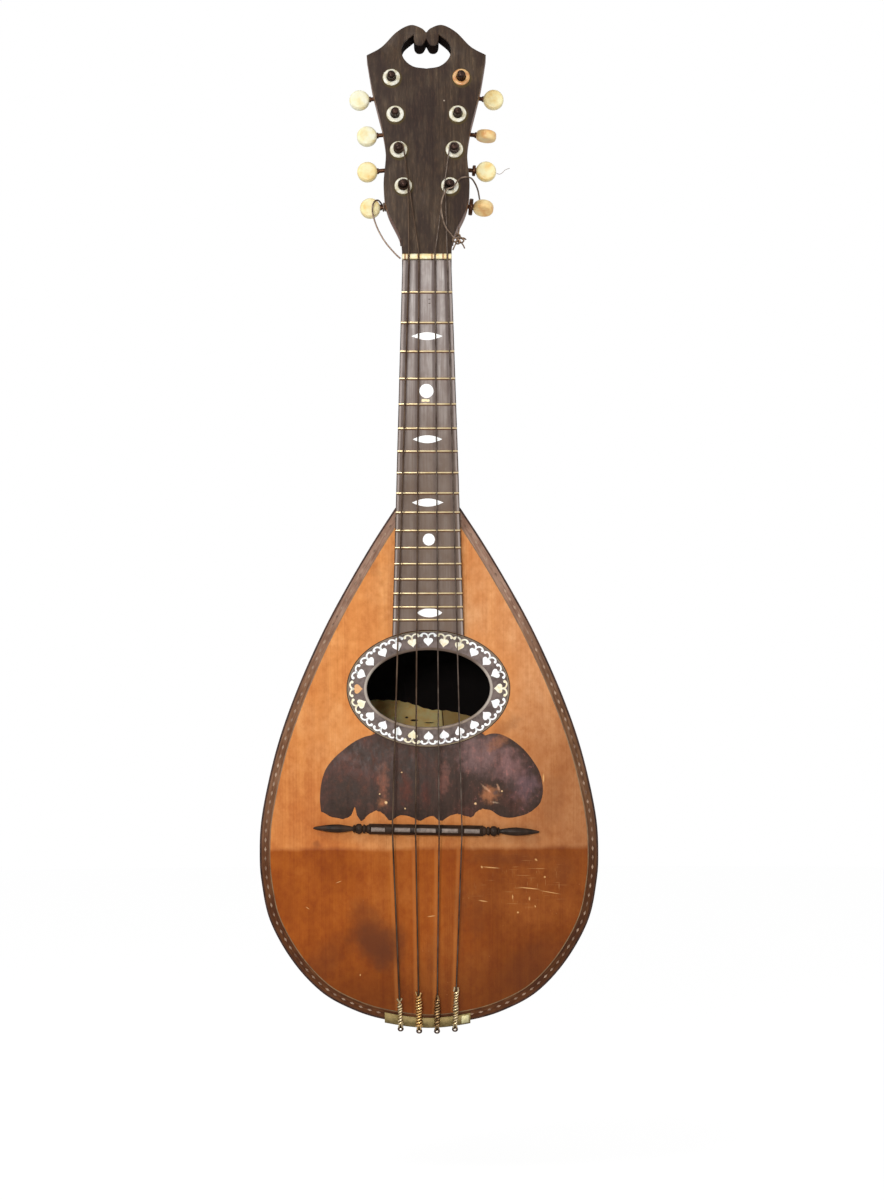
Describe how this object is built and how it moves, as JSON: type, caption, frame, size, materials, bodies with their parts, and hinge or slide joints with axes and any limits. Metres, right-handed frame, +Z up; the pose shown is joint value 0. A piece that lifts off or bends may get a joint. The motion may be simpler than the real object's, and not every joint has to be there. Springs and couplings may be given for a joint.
{
  "type": "bowl back mandolin",
  "caption": "Bowl back mandolin: ribbed bowl, canted soundboard with oval rosette, fretted neck and a slanted peghead whose geared keys turn the string posts.",
  "frame": {"origin": "on the centre line, where the nut meets the fingerboard, in the front plane of the upper soundboard: where a hanger's yoke holds the neck under the peghead", "axes": "+Z up the neck towards the peghead, the soundboard faces -Y, the bowl swells towards +Y, +X to the right as seen from the front"},
  "size_m": [0.1946, 0.1487, 0.585],
  "materials": {
    "spruce_top": "old orange varnish over straight grain",
    "rosewood": "polished",
    "neck_wood": "worn varnish",
    "dark_wood": "dry, stained dark",
    "edge_band": "inlaid with small pale lozenges",
    "inner_wood": "bare",
    "tortoiseshell": "mottled, worn gloss",
    "rosette_ground": "dark ground with pearl inlay",
    "ebony": "rubbed",
    "bone": "satin, yellowed",
    "button_ivory": "yellowed",
    "brass": "tarnished",
    "dark_brass": "dark patina",
    "string_wire": "old wound and plain wire"
  },
  "bodies": {
    "frame": {"rib_01": "rosewood", "rib_02": "rosewood", "rib_03": "rosewood", "rib_04": "rosewood", "rib_05": "rosewood", "rib_06": "rosewood", "rib_07": "rosewood", "rib_08": "rosewood", "rib_09": "rosewood", "rib_10": "rosewood", "rib_11": "rosewood", "end_clasp": "rosewood", "neck_block": "inner_wood", "tail_block": "inner_wood", "lining_left": "inner_wood", "lining_right": "inner_wood", "brace_upper": "inner_wood", "brace_lower": "inner_wood", "soundboard": "spruce_top", "rosette_ring": "rosette_ground", "pickguard": "tortoiseshell", "edge_binding": "edge_band", "bridge": "ebony", "tailpiece": "brass", "neck": "neck_wood", "head_veneer": "dark_wood", "fingerboard": "dark_wood", "nut": "bone", "tuner_plate_left": "brass", "tuner_plate_right": "brass", "string_1": "string_wire", "string_2": "string_wire", "string_3": "string_wire", "string_4": "string_wire", "loose_wire_left": "string_wire", "loose_wire_right": "string_wire"},
    "post_left_1": {"string_post_left_1": "dark_brass"},
    "key_left_1": {"worm_shaft_left_1": "dark_brass", "button_left_1": "button_ivory"},
    "post_left_2": {"string_post_left_2": "dark_brass"},
    "key_left_2": {"worm_shaft_left_2": "dark_brass", "button_left_2": "button_ivory"},
    "post_left_3": {"string_post_left_3": "dark_brass"},
    "key_left_3": {"worm_shaft_left_3": "dark_brass", "button_left_3": "button_ivory"},
    "post_left_4": {"string_post_left_4": "dark_brass"},
    "key_left_4": {"worm_shaft_left_4": "dark_brass", "button_left_4": "button_ivory"},
    "post_right_1": {"string_post_right_1": "dark_brass"},
    "key_right_1": {"worm_shaft_right_1": "dark_brass", "button_right_1": "button_ivory"},
    "post_right_2": {"string_post_right_2": "dark_brass"},
    "key_right_2": {"worm_shaft_right_2": "dark_brass", "button_right_2": "button_ivory"},
    "post_right_3": {"string_post_right_3": "dark_brass"},
    "key_right_3": {"worm_shaft_right_3": "dark_brass", "button_right_3": "button_ivory"},
    "post_right_4": {"string_post_right_4": "dark_brass"},
    "key_right_4": {"worm_shaft_right_4": "dark_brass", "button_right_4": "button_ivory"}
  },
  "joints": [
    {"name": "key_turn_left_1", "type": "hinge", "parent": "frame", "child": "key_left_1", "pos_m": [-0.01965, 0.03995, 0.09841], "axis": [-0.9949, -0.0227, -0.0985], "continuous": true},
    {"name": "key_turn_left_2", "type": "hinge", "parent": "frame", "child": "key_left_2", "pos_m": [-0.01755, 0.03491, 0.07658], "axis": [-0.9949, -0.0227, -0.0985], "continuous": true},
    {"name": "key_turn_left_3", "type": "hinge", "parent": "frame", "child": "key_left_3", "pos_m": [-0.01555, 0.03005, 0.05553], "axis": [-0.9949, -0.0227, -0.0985], "continuous": true},
    {"name": "key_turn_left_4", "type": "hinge", "parent": "frame", "child": "key_left_4", "pos_m": [-0.0129, 0.0251, 0.0341], "axis": [-0.9949, -0.0227, -0.0985], "continuous": true},
    {"name": "key_turn_right_1", "type": "hinge", "parent": "frame", "child": "key_right_1", "pos_m": [0.01965, 0.03995, 0.09841], "axis": [0.9949, -0.0227, -0.0985], "continuous": true},
    {"name": "key_turn_right_2", "type": "hinge", "parent": "frame", "child": "key_right_2", "pos_m": [0.01755, 0.03491, 0.07658], "axis": [0.9949, -0.0227, -0.0985], "continuous": true},
    {"name": "key_turn_right_3", "type": "hinge", "parent": "frame", "child": "key_right_3", "pos_m": [0.01555, 0.03005, 0.05553], "axis": [0.9949, -0.0227, -0.0985], "continuous": true},
    {"name": "key_turn_right_4", "type": "hinge", "parent": "frame", "child": "key_right_4", "pos_m": [0.0129, 0.0251, 0.0341], "axis": [0.9949, -0.0227, -0.0985], "continuous": true},
    {"name": "post_turn_left_1", "type": "hinge", "parent": "frame", "child": "post_left_1", "pos_m": [-0.0202, 0.02245, 0.10796], "axis": [0, -0.9744, 0.225], "continuous": true},
    {"name": "post_turn_left_2", "type": "hinge", "parent": "frame", "child": "post_left_2", "pos_m": [-0.0181, 0.01741, 0.08613], "axis": [0, -0.9744, 0.225], "continuous": true},
    {"name": "post_turn_left_3", "type": "hinge", "parent": "frame", "child": "post_left_3", "pos_m": [-0.0161, 0.01255, 0.06509], "axis": [0, -0.9744, 0.225], "continuous": true},
    {"name": "post_turn_left_4", "type": "hinge", "parent": "frame", "child": "post_left_4", "pos_m": [-0.01345, 0.0076, 0.04365], "axis": [0, -0.9744, 0.225], "continuous": true},
    {"name": "post_turn_right_1", "type": "hinge", "parent": "frame", "child": "post_right_1", "pos_m": [0.0202, 0.02245, 0.10796], "axis": [0, -0.9744, 0.225], "continuous": true},
    {"name": "post_turn_right_2", "type": "hinge", "parent": "frame", "child": "post_right_2", "pos_m": [0.0181, 0.01741, 0.08613], "axis": [0, -0.9744, 0.225], "continuous": true},
    {"name": "post_turn_right_3", "type": "hinge", "parent": "frame", "child": "post_right_3", "pos_m": [0.0161, 0.01255, 0.06509], "axis": [0, -0.9744, 0.225], "continuous": true},
    {"name": "post_turn_right_4", "type": "hinge", "parent": "frame", "child": "post_right_4", "pos_m": [0.01345, 0.0076, 0.04365], "axis": [0, -0.9744, 0.225], "continuous": true}
  ],
  "couplings": [
    {"joint": "post_turn_left_1", "follows": "key_turn_left_1", "ratio": 0.071429},
    {"joint": "post_turn_left_2", "follows": "key_turn_left_2", "ratio": 0.071429},
    {"joint": "post_turn_left_3", "follows": "key_turn_left_3", "ratio": 0.071429},
    {"joint": "post_turn_left_4", "follows": "key_turn_left_4", "ratio": 0.071429},
    {"joint": "post_turn_right_1", "follows": "key_turn_right_1", "ratio": -0.071429},
    {"joint": "post_turn_right_2", "follows": "key_turn_right_2", "ratio": -0.071429},
    {"joint": "post_turn_right_3", "follows": "key_turn_right_3", "ratio": -0.071429},
    {"joint": "post_turn_right_4", "follows": "key_turn_right_4", "ratio": -0.071429}
  ]
}
